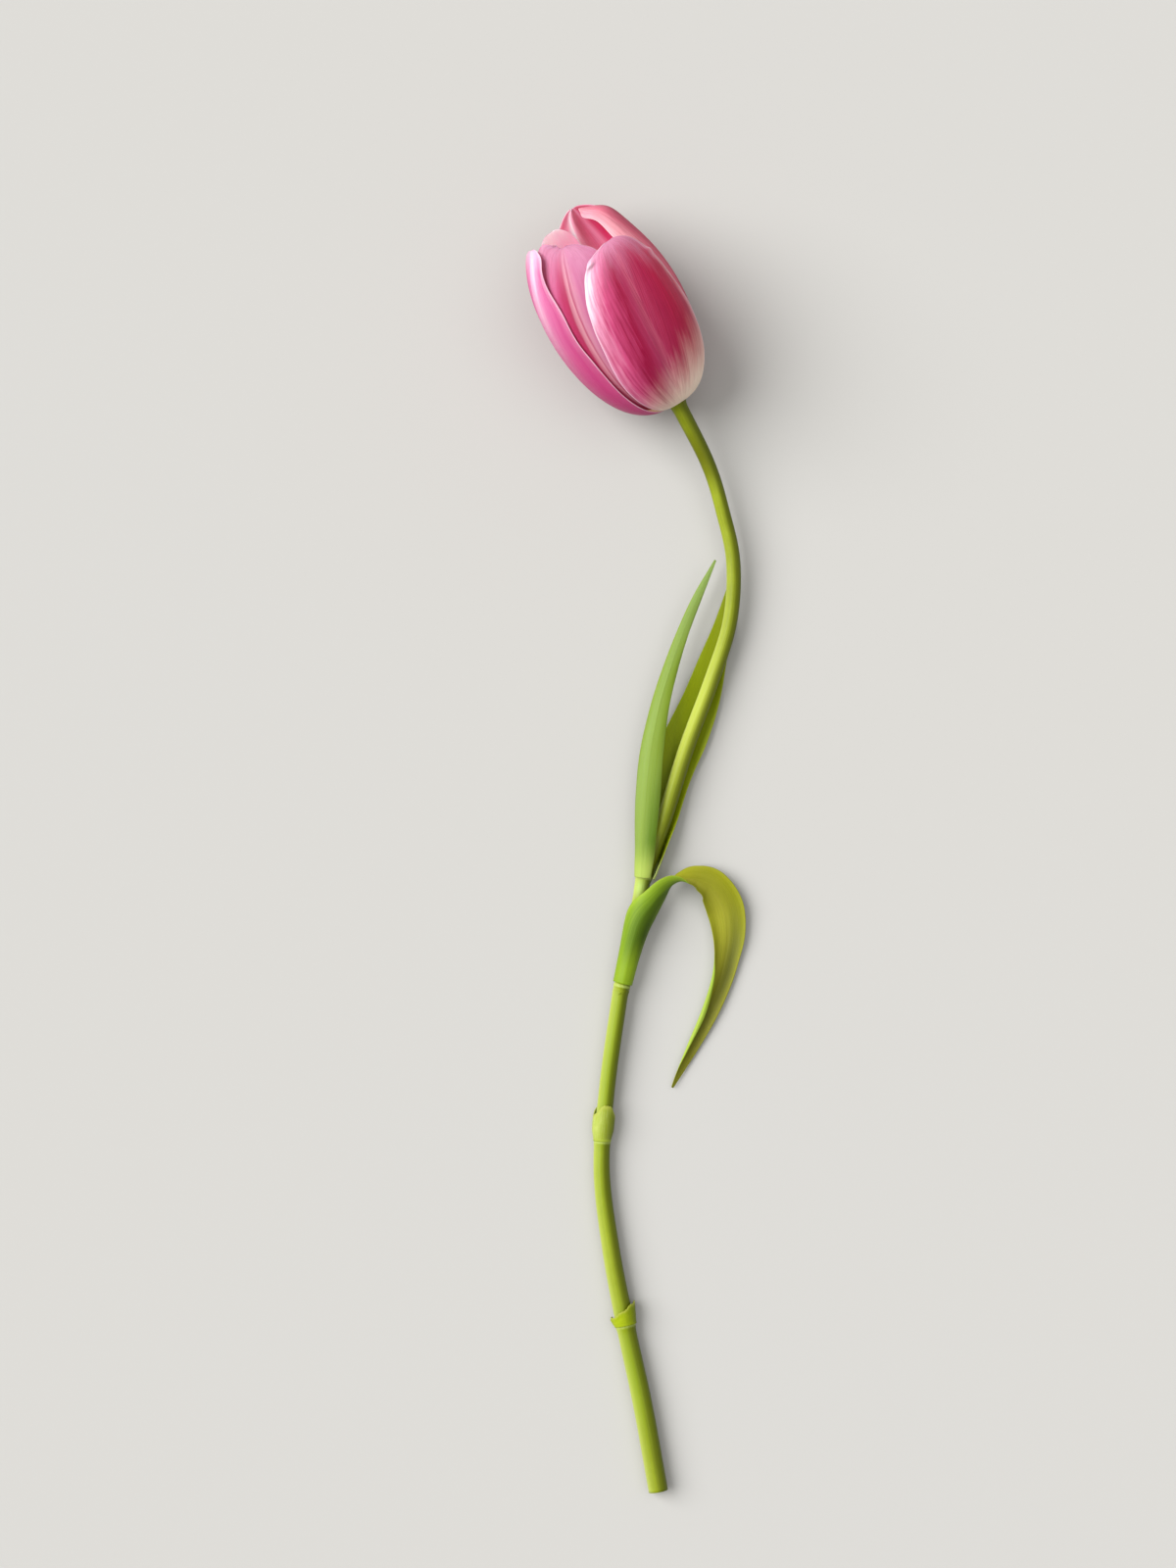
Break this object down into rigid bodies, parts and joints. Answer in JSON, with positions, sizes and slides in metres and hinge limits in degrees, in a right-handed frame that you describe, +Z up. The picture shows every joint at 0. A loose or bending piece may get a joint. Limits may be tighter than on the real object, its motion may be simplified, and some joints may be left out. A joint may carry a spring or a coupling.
{
  "type": "cut tulip",
  "caption": "Cut pink tulip lying on its side: a half-open cup-shaped bloom on a long bent stem with slim green leaves.",
  "frame": {"origin": "middle of the bounding box, on the surface that the tulip lies on", "axes": "+Y along the stem from its cut end to the bloom, +Z up from the surface"},
  "size_m": [0.0677, 0.3935, 0.0459],
  "materials": {
    "outer_tepal": "satin",
    "inner_tepal": "satin",
    "stem": "satin",
    "leaf": "satin",
    "pistil": "matte",
    "stamen": "matte"
  },
  "bodies": {
    "root": {"stem": "stem", "outer_tepal_1": "outer_tepal", "outer_tepal_2": "outer_tepal", "outer_tepal_3": "outer_tepal", "inner_tepal_1": "inner_tepal", "inner_tepal_2": "inner_tepal", "inner_tepal_3": "inner_tepal", "leaf_upper_front": "leaf", "leaf_upper_back": "leaf", "leaf_drooping": "leaf", "leaf_stub_upper": "leaf", "leaf_stub_lower": "leaf", "pistil": "pistil", "stamen_1": "stamen", "stamen_2": "stamen", "stamen_3": "stamen", "stamen_4": "stamen", "stamen_5": "stamen", "stamen_6": "stamen"}
  },
  "joints": []
}
